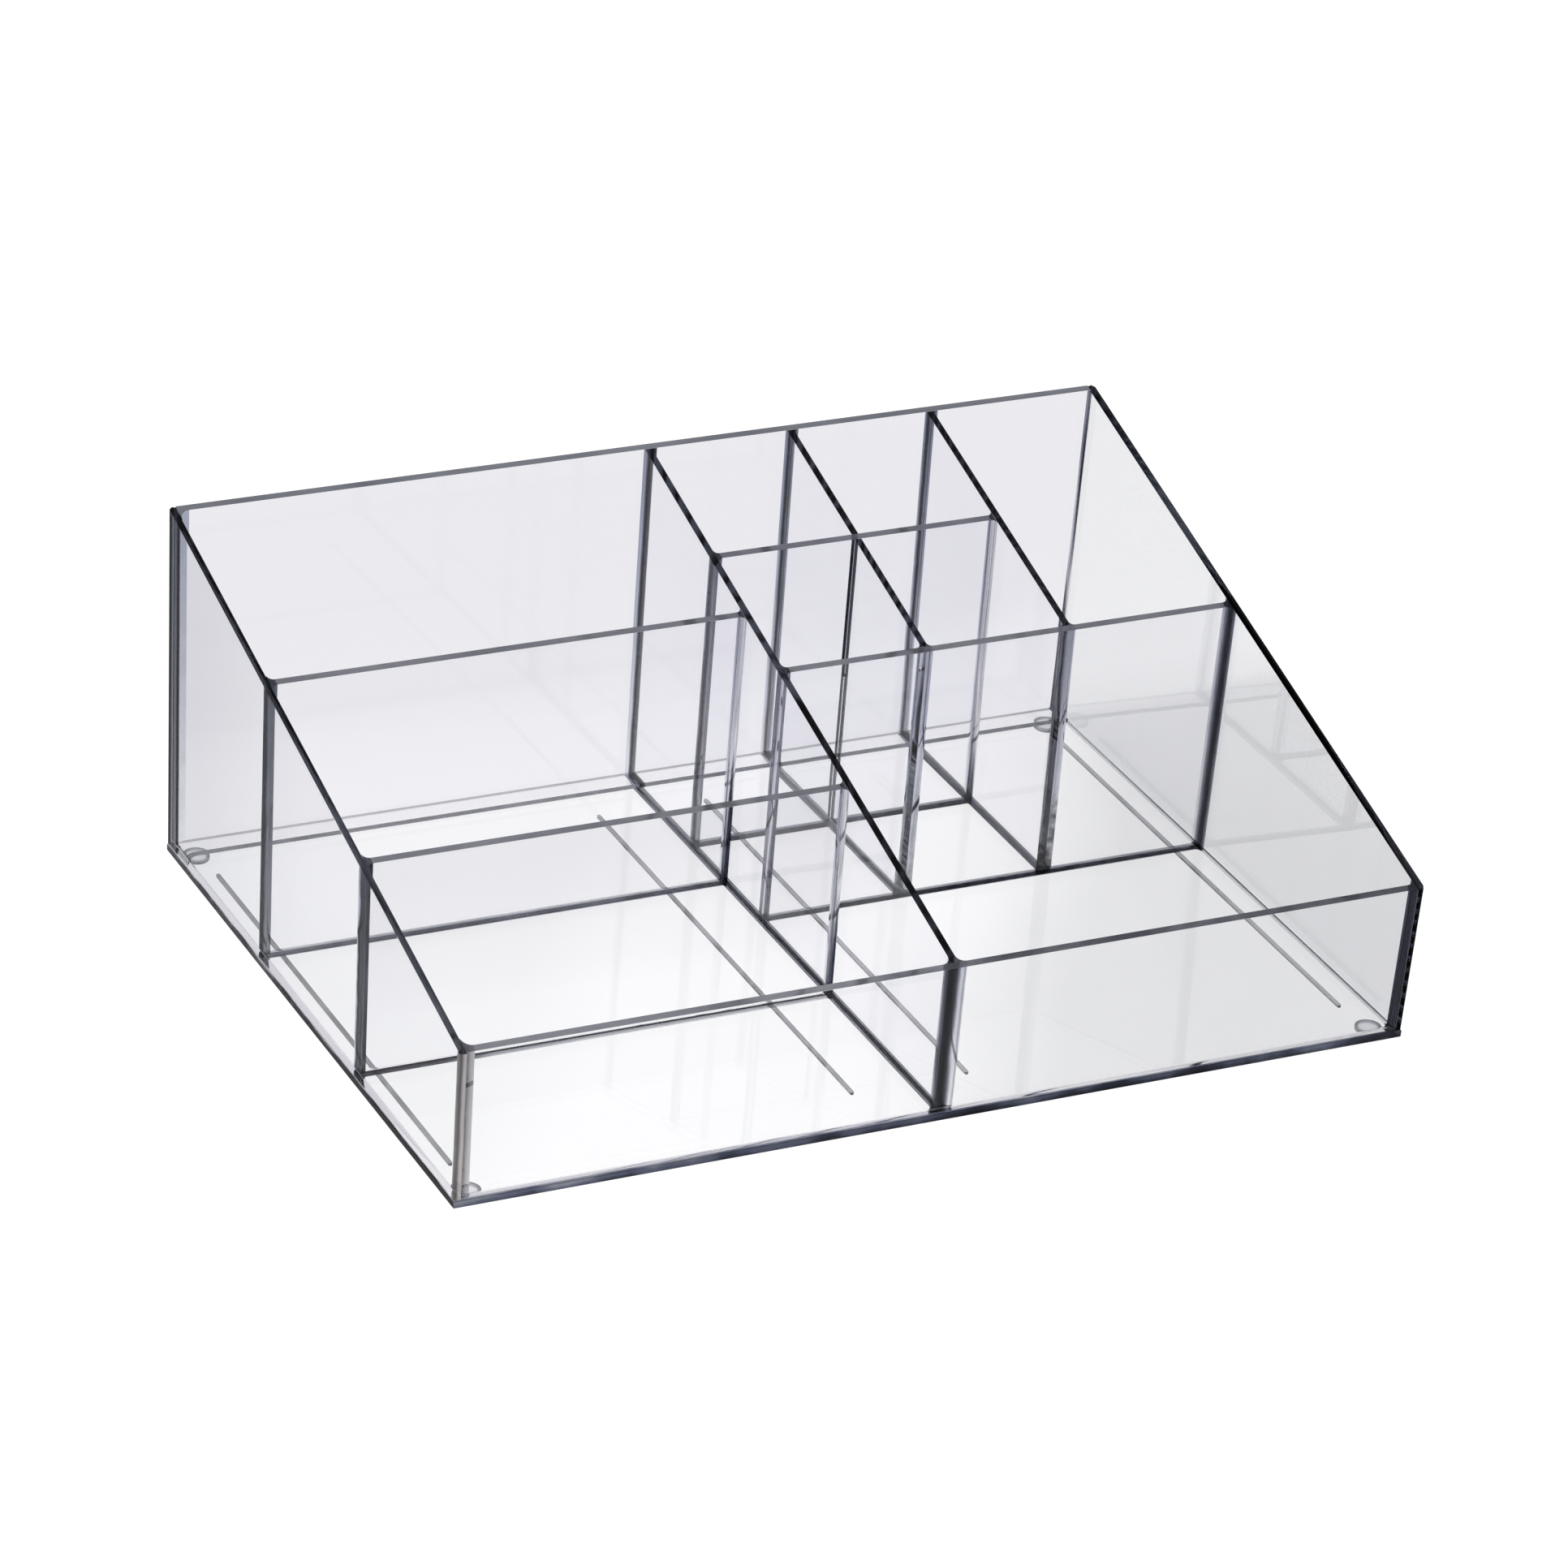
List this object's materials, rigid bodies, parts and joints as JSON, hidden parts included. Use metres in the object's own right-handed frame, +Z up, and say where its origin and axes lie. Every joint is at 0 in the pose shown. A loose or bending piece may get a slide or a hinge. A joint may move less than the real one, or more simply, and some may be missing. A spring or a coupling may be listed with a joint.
{
  "type": "vanity organizer",
  "caption": "Clear sloping desktop organizer with stepped bays on one side and brush cells with an open tray on the other.",
  "frame": {"origin": "middle of the outline, on the surface that the feet stand on", "axes": "+X to the right, +Y to the tall back wall, +Z up; the low front wall faces -Y"},
  "size_m": [0.3074, 0.221, 0.1148],
  "materials": {
    "clear_panel": "clear polished",
    "clear_runner": "clear polished",
    "clear_foot": "clear soft"
  },
  "bodies": {
    "root": {"floor_panel": "clear_panel", "back_panel": "clear_panel", "left_side_panel": "clear_panel", "right_side_panel": "clear_panel", "front_panel": "clear_panel", "centre_divider": "clear_panel", "rear_step_divider": "clear_panel", "front_step_divider": "clear_panel", "brush_front_panel": "clear_panel", "left_brush_divider": "clear_panel", "right_brush_divider": "clear_panel", "brush_cross_divider": "clear_panel", "left_outer_runner": "clear_runner", "left_inner_runner": "clear_runner", "right_inner_runner": "clear_runner", "right_outer_runner": "clear_runner", "front_left_foot": "clear_foot", "front_right_foot": "clear_foot", "back_left_foot": "clear_foot", "back_right_foot": "clear_foot"}
  },
  "joints": []
}
